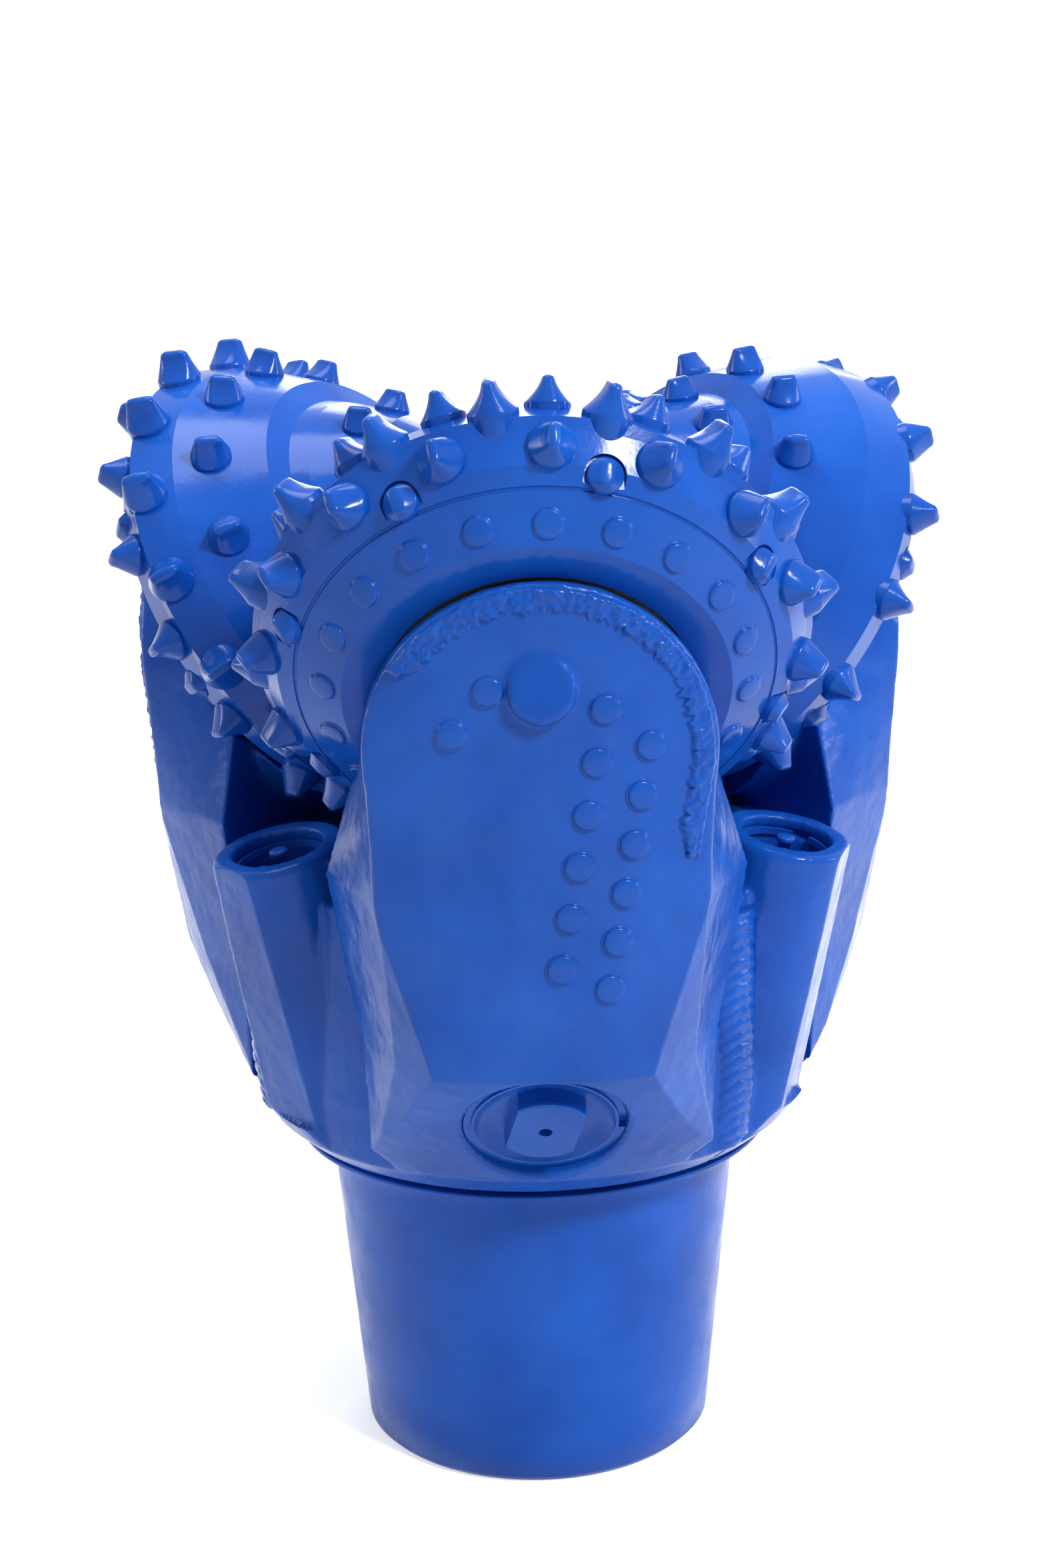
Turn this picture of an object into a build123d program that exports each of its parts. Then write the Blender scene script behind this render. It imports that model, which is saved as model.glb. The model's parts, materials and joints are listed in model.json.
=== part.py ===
from build123d import *
import math
import os

# Three-cone rotary drill bit with pressed inserts, standing pin-down in its thread protector.
# Millimetres. Origin: centre of the protector's bottom face. +Z: up the bit axis, towards the
# cones. Leg and cone 1 face -Y, 2 and 3 follow at 120 degrees, counter-clockwise from above.

# ---- Overall sizes -------------------------------------------------------------------------
bit_diameter = 311.15           # gauge over the insert tips, 12 1/4 in
size = bit_diameter / 311.15    # cutting structure, bearings and legs grow with the gauge
sectors = 3
first_azimuth = -90
journal_angle = 32.5            # journal axis below the horizontal
steel_radius = bit_diameter / 2 - 5.6 * size

# ---- Threaded pin and protector ------------------------------------------------------------
pin_length = 127.0
pin_base_radius = 75.2
pin_base_length = 12.7
thread_pitch = 6.35
thread_depth = 2.9
thread_taper = 1 / 12           # radius lost per millimetre of length
thread_first_radius = 75.0
shoulder_radius = 93.65
bore_radius = 33.0
protector_wall = 2.0
protector_floor = 2.4
protector_clearance = 0.8
protector_seat_gap = 0.3
lip_radius = 81.5
lip_thickness = 2.6
lip_length = 14.0

# ---- Leg forgings --------------------------------------------------------------------------
shoulder_height = pin_length + protector_floor
apex_height = shoulder_height + 259.8 * size     # where the three journal axes meet
leg_split_angle = 41.5          # weld plane, measured from the leg's centre line
weld_radius = 13.0 * size
weld_depth = 10.0 * size        # centre of the bead below the body's surface
body_radius = 103.0 * size
body_bevel_height = 8.0 * size
knee_height = 59.0 * size       # above the shoulder, where the back face starts
knee_radius = steel_radius - 10.0 * size
dome_radius = 59.0 * size
dome_centre = apex_height - 89.0 * size
dome_top = dome_centre + dome_radius
crotch_height = 98.0 * size     # top of the middle of the body, above the shoulder
valley_radius = 106.0 * size
leg_flare = 27.0 * size

# ---- Journal, seal and bearings (stations are measured outwards from the apex) --------------
leg_face_station = 137.3 * size
cone_back_gap = 0.8 * size
running_clearance = 0.05
journal_radius = 42.0 * size
seal_land_rise = 4.0 * size
seal_land_length = 11.3 * size
bushing_wall = 5.0 * size
ball_radius = 7.94 * size
ball_clearance = 0.06
ball_count = 16
race_station = 79.5 * size
thrust_station = 66.5 * size
pilot_radius = 22.0 * size
pilot_end_station = 46.0 * size
pilot_wall = 4.0 * size
washer_thickness = 3.2 * size
seal_section = 6.4 * size
ball_hole_clearance = 0.6
plug_radius = 11.0 * size
plug_length = 12.0 * size
plug_height = dome_centre + 24.0 * size

# ---- Grease reservoir ----------------------------------------------------------------------
reservoir_radius = 31.0 * size
reservoir_depth = 46.0 * size
cup_wall = 2.2
cap_radius = 24.5 * size
cap_block_radius = 17.0 * size
cap_flat_width = 24.0 * size
cap_flat_turn = -11.0
snap_ring_width = 2.6 * size
snap_ring_thickness = 2.4
vent_radius = 2.4

# ---- Nozzles -------------------------------------------------------------------------------
boss_azimuth = -60.0
boss_radius = 24.5 * size
boss_lean = 12.0
boss_reach = 107.0 * size       # bit axis to the middle of the boss's top face
boss_rise = 120.6 * size        # top face above the shoulder
nozzle_bore_radius = 16.5 * size
nozzle_seat_depth = 44.0 * size
nozzle_length = 26.0 * size
orifice_radius = 6.5 * size
passage_radius = 12.0 * size
bore_clearance = 0.05

# ---- Wear protection on the legs -----------------------------------------------------------
compact_radius = 5.0 * size
compact_rise = 1.6 * size
compact_grip = 6.0 * size
hardfacing_width = 9.0 * size
hardfacing_rise = 1.5 * size

# ---- Cone shell (station along the journal axis, radius about it) ---------------------------
gauge_corner = (122.35 * size, 86.9 * size)
gauge_land_end = (112.0 * size, 93.0 * size)
crest = (108.6 * size, 95.4 * size)
inner_edge = (94.15 * size, 87.6 * size)
step_edge = (67.5 * size, 65.2 * size)
step_root = (65.6 * size, 55.5 * size)
nose_start = (60.0 * size, 51.5 * size)
nose_edge = (38.0 * size, 32.5 * size)
nose_shoulder = (26.0 * size, 16.0 * size)
nose_tip_station = 20.0 * size
heel_radius = 65.3 * size
notch_width = 13.8 * size
notch_depth = 1.6 * size        # below the foot of the trimmer's head
socket_extra = 0.4


def polar(radius, angle):
    return (radius * math.cos(math.radians(angle)), radius * math.sin(math.radians(angle)))


def turned(points):
    """Solid of revolution about Z from (radius, height) points."""
    outline = make_face(Polyline(*[(r, 0, z) for r, z in points], close=True))
    return revolve(outline, Axis.Z)


def rod(start, end, radius):
    """Round bar between two points."""
    run = Vector(*end) - Vector(*start)
    return Plane(origin=start, z_dir=run) * Cylinder(
        radius, run.length, align=(Align.CENTER, Align.CENTER, Align.MIN))


def sector_turn(index):
    return Rot(0, 0, first_azimuth + 360 / sectors * index)


sin_journal = math.sin(math.radians(journal_angle))
cos_journal = math.cos(math.radians(journal_angle))
journal_frame = Plane(
    origin=(0, 0, apex_height),
    x_dir=(sin_journal, 0, cos_journal),
    z_dir=(cos_journal, 0, -sin_journal)).location


def world_point(station, radius, side=0.0):
    """(x, y, z) of a point in the leg's frame given along and across the journal axis."""
    x = station * cos_journal + radius * sin_journal
    z = apex_height - station * sin_journal + radius * cos_journal
    return (x, side, z)


def export(name, solids):
    """Write one node. Repeated pieces stay separate solids in one file."""
    pieces = solids if isinstance(solids, list) else [solids]
    flat = [s for piece in pieces for s in piece.solids()]
    shape = flat[0] if len(flat) == 1 else Compound(children=flat)
    shape.label = name
    export_step(shape, f"parts/{name}.step")


def export_each_sector(name, piece):
    export(name, [sector_turn(i) * piece for i in range(sectors)])


# ---- Cone shells ---------------------------------------------------------------------------
back_station = leg_face_station - cone_back_gap
bushing_outer = journal_radius + bushing_wall
seal_land_radius = journal_radius + seal_land_rise
seal_land_end = leg_face_station - seal_land_length
gland_radius = seal_land_radius + seal_section + 0.2
washer_radius = journal_radius - 5.0 * size


def between(first, last, share):
    """Point on the line between two profile points, with its outward lean from radial."""
    station = first[0] + (last[0] - first[0]) * share
    radius = first[1] + (last[1] - first[1]) * share
    lean = math.degrees(math.atan2(last[1] - first[1], first[0] - last[0]))
    return station, radius, lean


def heel_point(share):
    return between((back_station, heel_radius), gauge_corner, share)


def shell_outline(two_rows, deep_nose):
    """(radius, station) outline of a cone, from the back face to the nose."""
    points = [(heel_radius, back_station), gauge_corner[::-1], gauge_land_end[::-1]]
    if two_rows:
        points.append(crest[::-1])
    points.append(inner_edge[::-1])
    if deep_nose:
        far = (50.0 * size, 46.8 * size)
        points += [far[::-1], (41.0 * size, 48.6 * size), (37.5 * size, 45.0 * size)]
        points += [(24.0 * size, 28.5 * size), (12.0 * size, 18.0 * size)]
        return points + [(0, 14.0 * size)]
    points += [step_edge[::-1], step_root[::-1], nose_start[::-1], nose_edge[::-1]]
    return points + [nose_shoulder[::-1], (0, nose_tip_station)]


def bearing_bore():
    """Everything bored out of a cone: seal gland, bushing seat, ball race, thrust and pilot."""
    mouth = back_station + 1.0
    steps = [
        (0, mouth), (gland_radius, mouth), (gland_radius, seal_land_end - 0.3),
        (bushing_outer, seal_land_end - 0.3), (bushing_outer, race_station + ball_radius + 1.5 * size),
        (journal_radius + running_clearance, race_station + ball_radius + 1.5 * size),
        (journal_radius + running_clearance, thrust_station + washer_thickness - 3.4 * size),
        (pilot_radius + pilot_wall, thrust_station - 0.2 * size),
        (pilot_radius + pilot_wall, pilot_end_station - 1.0), (0, pilot_end_station - 1.0)]
    bore = turned(steps)
    race = Pos(0, 0, race_station) * Torus(journal_radius, ball_radius + ball_clearance)
    return bore + race


# ---- Inserts -------------------------------------------------------------------------------
def chisel_insert(radius, rise, grip, hollow=0.0):
    """Pressed insert: round grip, conical flanks and a straight chisel crest along X."""
    crest_half = 0.64 * radius
    edge = 0.07 * radius
    profile = [(0, -grip), (radius, -grip), (radius, 0.12 * rise), (crest_half + edge, rise - 1.6 * edge),
               (crest_half - edge, rise), (0, rise)]
    body = turned(profile)
    for side in (1, -1):
        low, high = Vector(0, side * 0.98 * radius, 0.08 * rise), Vector(0, side * 0.24 * radius, rise + 0.01)
        inward = Vector(0, -side, -0.7).normalized() * hollow
        flank = ThreePointArc(low, (low + high) / 2 + inward, high) if hollow else Line(low, high)
        rest = Polyline(high, (0, side * 2 * radius, rise + 0.01), (0, side * 2 * radius, 0.08 * rise), low)
        body -= extrude(make_face([flank, rest]), 2 * radius, dir=(1, 0, 0), both=True)
    return body


def button_insert(radius, rise, grip):
    """Flush compact with a bevelled, slightly raised head."""
    return turned([(0, -grip), (radius, -grip), (radius, rise * 0.35), (radius * 0.62, rise), (0, rise)])


def socket(radius, grip):
    return Pos(0, 0, -grip - socket_extra) * Cylinder(
        radius, grip + socket_extra + 3.0 * size, align=(Align.CENTER, Align.CENTER, Align.MIN))


def on_cone(place, angle):
    """Location on the cone's surface. X runs along the cone's slope, Z leaves the steel."""
    station, radius, lean = place
    x, y = polar(radius, angle)
    out, along = math.cos(math.radians(lean)), math.sin(math.radians(lean))
    dx, dy = polar(out, angle)
    sx, sy = polar(-along, angle)
    return Plane(origin=(x, y, station), x_dir=(sx, sy, out), z_dir=(dx, dy, along)).location


def spread(place, count, start):
    return [on_cone(place, start + 360 / count * n) for n in range(count)]


def at_reach(first, last, reach):
    """Share of the line between two profile points that lies at this reach from the apex."""
    low, high = 0.0, 1.0
    for _ in range(30):
        middle = (low + high) / 2
        station, radius, _ = between(first, last, middle)
        low, high = (middle, high) if math.hypot(station, radius) > reach else (low, middle)
    return between(first, last, low)


inner_far = (50.0 * size, 46.8 * size)
# name: place, count, start angle, radius, rise, grip
gauge_row = (between(gauge_corner, gauge_land_end, 0.52), 16, -3.0, 7.4 * size, 9.2 * size, 11.0 * size)
crest_row = (between(crest, inner_edge, 0.33), 16, 8.2, 8.0 * size, 10.3 * size, 10.8 * size)


def middle_row(reach, count, start, rise, radius=7.6, first=inner_edge, last=step_edge):
    return (at_reach(first, last, reach * size), count, start, radius * size, rise * size, 12.0 * size)


def nose_row(reach, count, start, first, last, radius=6.8):
    return (at_reach(first, last, reach * size), count, start, radius * size, 8.2 * size, 7.0 * size)


cones = {
    1: {"two_rows": True, "deep_nose": True, "rows": {
        "gauge_row": gauge_row, "crest_row": crest_row,
        "middle_row": middle_row(126.4, 16, -3.0, 10.3, last=inner_far),
        "inner_row": middle_row(88.0, 11, 10.0, 10.0, last=inner_far),
        "nose_row": nose_row(47.0, 6, 0.0, (45.0 * size, 37.5 * size), (28.5 * size, 24.0 * size))}},
    2: {"two_rows": False, "deep_nose": False, "rows": {
        "gauge_row": gauge_row,
        "middle_row": middle_row(101.4, 14, 5.0, 9.6, radius=7.3),
        "inner_row": nose_row(73.5, 10, 0.0, nose_start, nose_edge, 7.2),
        "nose_row": nose_row(38.0, 5, 20.0, nose_edge, nose_shoulder, 5.0)}},
    3: {"two_rows": True, "deep_nose": False, "rows": {
        "gauge_row": gauge_row, "crest_row": crest_row,
        "middle_row": middle_row(114.2, 14, 0.0, 9.8),
        "inner_row": nose_row(61.0, 9, 12.0, nose_start, nose_edge, 6.8)}},
}
trimmer_radius = 6.0 * size
trimmer_rise = 3.4 * size
trimmer_grip = 5.5 * size
trimmer_count = 8
trimmer_place = (gauge_corner[0] + 0.9 * size, gauge_corner[1] - 1.4 * size, 32.0)
heel_compact_count = 20
heel_place = heel_point(0.28)


def notch_cutters():
    """Round-ended slots in the gauge corner, open to the heel, one round each trimmer."""
    low = (Align.CENTER, Align.CENTER, Align.MIN)
    slot = Cylinder(notch_width / 2, 8 * size, align=low)
    slot += Pos(5 * size, 0, 0) * Box(10 * size, notch_width, 8 * size, align=low)
    return [loc * Pos(0, 0, -notch_depth) * slot for loc in trimmer_spots()]


def trimmer_spots():
    return spread(trimmer_place, trimmer_count, -14.5)


def build_cone(index):
    spec = cones[index]
    turn = sector_turn(index - 1) * journal_frame
    shell = turned([(0, back_station)] + shell_outline(spec["two_rows"], spec["deep_nose"]))
    groove_at = heel_point(0.72)
    groove = Pos(0, 0, groove_at[0]) * Torus(groove_at[1], 0.7 * size)
    cutters = [bearing_bore(), groove]
    if spec["deep_nose"] is False:
        cutters.append(Pos(0, 0, 58.0 * size) * Torus(53.2 * size, 2.6 * size))
    for place, count, start, radius, rise, grip in spec["rows"].values():
        hole = socket(radius, grip)
        cutters += [loc * hole for loc in spread(place, count, start)]
    cutters += [loc * socket(trimmer_radius, trimmer_grip) for loc in trimmer_spots()]
    heel_spots = spread(heel_place, heel_compact_count, -2.5)
    cutters += [loc * socket(compact_radius, compact_grip) for loc in heel_spots]
    shell = shell - cutters - notch_cutters()
    export(f"cone_{index}_shell", turn * shell)
    for name, (place, count, start, radius, rise, grip) in spec["rows"].items():
        piece = chisel_insert(radius, rise, grip, 0.1 * radius)
        export(f"cone_{index}_{name}", [turn * loc * piece for loc in spread(place, count, start)])
    trimmer = chisel_insert(trimmer_radius, trimmer_rise, trimmer_grip)
    export(f"cone_{index}_trimmers", [turn * loc * trimmer for loc in trimmer_spots()])
    compact = button_insert(compact_radius, 0.9 * size, compact_grip)
    export(f"cone_{index}_heel_compacts", [turn * loc * compact for loc in heel_spots])
    export(f"cone_{index}_journal_bushing", turn * journal_bushing())
    export(f"cone_{index}_pilot_bushing", turn * pilot_bushing())
    export(f"cone_{index}_locking_balls", [turn * ball for ball in locking_balls()])


def ring(inner, outer, low, high):
    return turned([(inner, low), (outer, low), (outer, high), (inner, high)])


def journal_bushing():
    return ring(journal_radius + running_clearance, bushing_outer,
                race_station + ball_radius + 1.5 * size, seal_land_end - 0.3)


def pilot_bushing():
    return ring(pilot_radius + running_clearance, pilot_radius + pilot_wall,
                pilot_end_station - 1.0, thrust_station - 0.2 * size)


def locking_balls():
    return [Pos(*polar(journal_radius, 360 / ball_count * n), race_station) * Sphere(ball_radius)
            for n in range(ball_count)]


# ---- Legs ----------------------------------------------------------------------------------
def cone_envelope():
    """Space a turning cone sweeps, with room round it, in the journal's frame."""
    room = 3.0 * size
    return turned([
        (0, leg_face_station), (heel_radius + room, leg_face_station),
        (gauge_corner[1] + room, gauge_corner[0] + 2 * room), (101.0 * size, 128.0 * size),
        (107.0 * size, 112.0 * size), (107.0 * size, 90.0 * size), (84.0 * size, 60.0 * size),
        (20.0 * size, 5.0 * size), (0, 0)])


def turned_body():
    """Everything the lathe would leave: the outside of the finished bit body."""
    return turned([
        (0, shoulder_height), (shoulder_radius, shoulder_height),
        (body_radius, shoulder_height + body_bevel_height),
        (knee_radius, shoulder_height + knee_height),
        (steel_radius, dome_top), (steel_radius, dome_top + 5), (0, dome_top + 5)])


def body_core():
    """Round middle of the body, below the cones."""
    top = shoulder_height + crotch_height
    return turned([
        (0, shoulder_height), (shoulder_radius, shoulder_height),
        (body_radius, shoulder_height + body_bevel_height), (valley_radius, shoulder_height + 30 * size),
        (valley_radius, top + 6 * size), (valley_radius - 22 * size, top + 14 * size), (0, top)])


def leg_face_outline(reach, flare):
    """Outline of the leg, seen from outside, at one distance from the bit axis."""
    widths = [(-1.0, 34.0), (59.0, 36.5), (120.0, 47.0), (171.0, 58.5)]
    right = [(reach, w * size + flare * (0.0 if h > 150 else 1.0), shoulder_height + h * size)
             for h, w in widths]
    left = [(x, -y, z) for x, y, z in reversed(right)]
    return make_face(Polyline(*(right + left), close=True))


def leg_arm():
    """Leg above and around the body: bevelled sides below, a plain dome above."""
    near = leg_face_outline(steel_radius + 4 * size, 0.0)
    far = leg_face_outline(steel_radius - 60 * size, leg_flare)
    lower = loft([near, far], ruled=True)
    dome_depth = 75 * size
    dome = Pos(steel_radius + 4 * size - dome_depth / 2, 0, dome_centre) * Rot(0, 90, 0) * Cylinder(
        dome_radius, dome_depth)
    return lower + dome


def boss_frame():
    """Top of the nozzle boss. Z leaves the face."""
    lean = math.radians(boss_lean)
    x, y = polar(boss_reach, boss_azimuth)
    dx, dy = polar(math.sin(lean), boss_azimuth)
    return Plane(origin=(x, y, shoulder_height + boss_rise), z_dir=(dx, dy, math.cos(lean)),
                 x_dir=(-dy, dx, 0)).location


def boss_point(depth):
    return (boss_frame() * Pos(0, 0, -depth)).position


def nozzle_boss():
    length = boss_rise + 14 * size
    body = Cone(boss_radius + 3 * size, boss_radius, length,
                align=(Align.CENTER, Align.CENTER, Align.MAX))
    web = Pos(0, 18 * size, -length / 2 - 6 * size) * Box(38 * size, 30 * size, length - 12 * size)
    return boss_frame() * (fillet(body.edges().group_by(Axis.Z)[-1], 2.5 * size) + web)


def nozzle_cuts():
    bore = boss_frame() * Cylinder(nozzle_bore_radius + bore_clearance, nozzle_seat_depth,
                                   align=(Align.CENTER, Align.CENTER, Align.MAX))
    groove = boss_frame() * Pos(0, 0, -6 * size) * Cylinder(nozzle_bore_radius + 2 * size, 2.6)
    seat = boss_point(nozzle_seat_depth - 1)
    start = (8 * math.cos(math.radians(boss_azimuth)), 8 * math.sin(math.radians(boss_azimuth)),
             shoulder_height + 20 * size)
    return [bore, groove, rod(start, seat, passage_radius)]


def reservoir_frame():
    """Middle of the sloping face under the knee. Z leaves the face."""
    low = Vector(body_radius, 0, shoulder_height + body_bevel_height)
    high = Vector(knee_radius, 0, shoulder_height + knee_height)
    slope = (high - low).normalized()
    middle = low + (high - low) * 0.5
    return Plane(origin=middle, x_dir=(0, 1, 0), z_dir=(slope.Z, 0, -slope.X)).location


def reservoir_pocket():
    mouth_chamfer = 2.0 * size
    pocket = turned([
        (0, -reservoir_depth), (cap_radius + 2.0 * size, -reservoir_depth),
        (cap_radius + 2.0 * size, -9.0 * size), (reservoir_radius - 2.5 * size, -9.0 * size),
        (reservoir_radius - 2.5 * size, -4.6 * size), (reservoir_radius - mouth_chamfer, -4.6 * size),
        (reservoir_radius - mouth_chamfer, -mouth_chamfer), (reservoir_radius + 6 * size, 8 * size),
        (0, 8 * size)])
    return reservoir_frame() * pocket


def ball_hole_point(depth):
    """Point on the ball hole's axis, by its depth in from the back of the leg."""
    outer = Vector(steel_radius, 0, plug_height)
    inner = Vector(*world_point(race_station, -journal_radius))
    return tuple(outer + (inner - outer).normalized() * depth)


def ball_hole():
    """Loading hole from the back of the leg to the unloaded side of the race."""
    race_point = world_point(race_station, -journal_radius)
    outer = ball_hole_point(-5)
    hole = rod(outer, race_point, ball_radius + ball_hole_clearance)
    return [hole, rod(outer, ball_hole_point(plug_length), plug_radius)]


def journal():
    """Journal turned on the leg: seal land, main bearing, ball race, thrust face, pilot pin."""
    root = leg_face_station + 5.0 * size
    steps = [
        (0, root), (seal_land_radius, root), (seal_land_radius, seal_land_end),
        (journal_radius, seal_land_end), (journal_radius, thrust_station + washer_thickness + 0.1),
        (pilot_radius, thrust_station + washer_thickness + 0.1),
        (pilot_radius, pilot_end_station + 1.5), (pilot_radius - 1.5, pilot_end_station + 0.1),
        (0, pilot_end_station + 0.1)]
    race = Pos(0, 0, race_station) * Torus(journal_radius, ball_radius + ball_clearance)
    return journal_frame * (turned(steps) - race)


def threaded_pin():
    """Tapered pin with its thread cut as rings, full round."""
    points = [(0, shoulder_height), (pin_base_radius, shoulder_height)]
    height = shoulder_height - pin_base_length
    points.append((pin_base_radius, height))
    radius = thread_first_radius
    while height - thread_pitch > protector_floor + 2:
        points += [(radius, height), (radius - thread_depth, height - thread_pitch / 2)]
        height -= thread_pitch
        radius -= thread_pitch * thread_taper
    points += [(radius, height), (radius - 2, protector_floor), (0, protector_floor)]
    return turned(points)


def bore_cut():
    top = shoulder_height + 58 * size
    return turned([(0, protector_floor - 1), (bore_radius, protector_floor - 1),
                   (bore_radius, top), (bore_radius * 0.5, top + 12 * size), (0, top + 14 * size)])


def sector_wedge():
    start = leg_split_angle - 360 / sectors
    corners = [(0, 0)] + [polar(400 * size, start + 60 * n) for n in range(3)]
    return extrude(make_face(Polyline(*corners, close=True)), dome_top + 100)


def compact_spots():
    """Button compacts: two slanting columns beside the middle and a pair at the top left."""
    spots = [(-17.2, -65.0), (-29.0, -79.5)]
    for n in range(6):
        spots.append((20.6 - 3.0 * n, -72.0 - 17.7 * n))
        spots.append((35.5 - 2.8 * n, -85.0 - 16.7 * n))
    return [(v * size, apex_height + z * size - 0.0) for v, z in spots]


def face_radius(height):
    """Radius of the turned back face at a height."""
    low = shoulder_height + knee_height
    share = (height - low) / (dome_top - low)
    return knee_radius + (steel_radius - knee_radius) * share


def on_leg(side, height):
    """Location on the back face of the leg. Z leaves the face."""
    radius = face_radius(height)
    angle = math.degrees(math.asin(side / radius))
    x, y = polar(radius, angle)
    return Plane(origin=(x, y, height), z_dir=(x, y, 0), x_dir=(0, 0, 1)).location


def build_legs():
    wedge = sector_wedge()
    leg = body_core() + ((leg_arm() + nozzle_boss()) & turned_body())
    leg = leg & wedge
    for index in range(sectors):
        leg = leg - Rot(0, 0, 360 / sectors * index) * journal_frame * cone_envelope()
    leg = leg + (threaded_pin() & wedge)
    leg = leg + journal()
    cutters = nozzle_cuts() + [reservoir_pocket(), bore_cut()] + ball_hole() + [grease_passage()]
    cutters += [on_leg(*spot) * socket(compact_radius, compact_grip) for spot in compact_spots()]
    groove = weld_bead(0.04)
    leg = leg - cutters - groove - Rot(0, 0, -360 / sectors) * groove
    for index in range(sectors):
        export(f"leg_{index + 1}", sector_turn(index) * max(leg.solids(), key=lambda s: s.volume))
    button = button_insert(compact_radius, compact_rise, compact_grip)
    export("leg_compacts", [sector_turn(i) * on_leg(*spot) * button
                            for i in range(sectors) for spot in compact_spots()])


def grease_passage():
    pocket_end = (reservoir_frame() * Pos(0, 0, -reservoir_depth + 3 * size)).position
    seat = world_point(leg_face_station - 20 * size, -journal_radius * 0.5)
    return rod(tuple(pocket_end), seat, 3.0 * size)


def weld_bead(room=0.0):
    """Bead that joins a leg to the next, along the outside of the body."""
    x, y = polar(valley_radius - weld_depth, leg_split_angle)
    low = polar(body_radius - weld_depth, leg_split_angle)
    start = (low[0], low[1], shoulder_height + body_bevel_height + 2)
    knee = (x, y, shoulder_height + 32 * size)
    top = (x, y, shoulder_height + crotch_height - 1 * size)
    radius = weld_radius + room
    return rod(start, knee, radius) + rod(knee, top, radius) + Pos(*knee) * Sphere(radius)


def hardfacing():
    """Wear layer laid on the back of the leg, round the edge of the dome."""
    depth = 40 * size
    frame = Pos(steel_radius, 0, dome_centre) * Rot(0, 90, 0)
    band = frame * (Cylinder(dome_radius - 0.5, depth) - Cylinder(dome_radius - hardfacing_width, depth + 1))
    slab = turned([(0, dome_centre - 30 * size), (face_radius(dome_centre - 30 * size), dome_centre - 30 * size),
                   (steel_radius, dome_top), (0, dome_top)])
    layer = turned([(0, dome_centre - 30 * size),
                    (face_radius(dome_centre - 30 * size) + hardfacing_rise, dome_centre - 30 * size),
                    (steel_radius + hardfacing_rise, dome_top), (0, dome_top)])
    above = Pos(steel_radius, 0, dome_centre + 15 * size + 60 * size) * Box(depth, 200 * size, 120 * size)
    return (band & (layer - slab)) & above


def ball_plug():
    """Plug welded into the mouth of the ball hole."""
    return rod(ball_hole_point(plug_length - 0.1), ball_hole_point(-0.6), plug_radius - 0.05)


def ball_retainer():
    """Pin behind the plug. Its scooped end completes the ball race."""
    race_point = world_point(race_station, -journal_radius)
    pin = rod(ball_hole_point(plug_length), race_point, ball_radius + ball_hole_clearance - 0.1)
    scoop = Torus(journal_radius, ball_radius + 2 * ball_clearance)
    cone_side = ring(journal_radius - 1.0, 3 * journal_radius, 0, leg_face_station)
    clear = journal_frame * (Pos(0, 0, race_station) * scoop)
    return max((pin - clear - journal_frame * cone_side).solids(), key=lambda s: s.volume)


def seal_ring():
    middle = seal_land_radius + 0.1 + seal_section / 2
    return journal_frame * (Pos(0, 0, leg_face_station - 5.6 * size) * Torus(middle, seal_section / 2 - 0.02))


def thrust_washer():
    return journal_frame * ring(pilot_radius + 0.3, washer_radius, thrust_station + 0.05,
                                thrust_station + washer_thickness)


def reservoir_parts():
    """Cap with two flats, its snap ring, the rubber diaphragm and the cup below it."""
    frame = reservoir_frame()
    shelf = -9.0 * size
    cup_outer = cap_radius + 2.0 * size - 0.1
    depth = reservoir_depth - 1.0
    cup = turned([(0, -depth), (cup_outer, -depth), (cup_outer, shelf - 3.0), (cup_outer - cup_wall, shelf - 3.0),
                  (cup_outer - cup_wall, -depth + cup_wall), (2.5, -depth + cup_wall), (2.5, -depth)])
    cup = cup - Pos(0, 0, -depth) * Cylinder(2.5, 3 * cup_wall)
    boot_outer = cup_outer - cup_wall - 0.4
    boot = turned([(0, -depth * 0.62), (boot_outer - 7 * size, -depth * 0.62), (boot_outer - 2.5, shelf - 2.9),
                   (cup_outer - 0.3, shelf - 2.9), (cup_outer - 0.3, shelf - 0.1), (boot_outer - 6, shelf - 0.1),
                   (boot_outer - 9.5 * size, -depth * 0.62 + 2.4), (0, -depth * 0.62 + 2.4)])
    rim = reservoir_radius - 2.5 * size - 0.1
    lip = rim - snap_ring_width - 0.1
    foot = shelf + 1.6
    bowl = ThreePointArc((lip - 1.0, 0, shelf + 5.2), (lip - 4.4, 0, shelf + 2.3), (cap_block_radius, 0, foot))
    inside = Polyline((cap_block_radius, 0, foot), (cap_block_radius - 0.5, 0, shelf + 8.2),
                      (cap_block_radius - 1.2, 0, shelf + 8.8), (0, 0, shelf + 8.8), (0, 0, shelf))
    outside = Polyline((0, 0, shelf), (rim, 0, shelf), (rim, 0, shelf + 2.0), (lip, 0, shelf + 2.0),
                       (lip, 0, shelf + 5.2), (lip - 1.0, 0, shelf + 5.2))
    cap = revolve(make_face([outside, bowl, inside]), Axis.Z)
    keep = Box(cap_flat_width, 3 * cap_block_radius, 20)
    flats = Pos(0, 0, foot + 10) * Rot(0, 0, cap_flat_turn) * (Cylinder(cap_block_radius + 0.2, 20) - keep)
    cap = cap - flats - Pos(0, 0, shelf) * Cylinder(vent_radius, 30)
    snap = ring(rim - snap_ring_width, rim, shelf + 2.05, shelf + 2.05 + snap_ring_thickness)
    snap = snap - Pos(rim - 2, 0, shelf + 4) * Box(10, 9 * size, 8)
    return {"grease_cups": frame * cup, "reservoir_diaphragms": frame * boot,
            "reservoir_caps": frame * cap, "reservoir_snap_rings": frame * snap}


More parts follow.
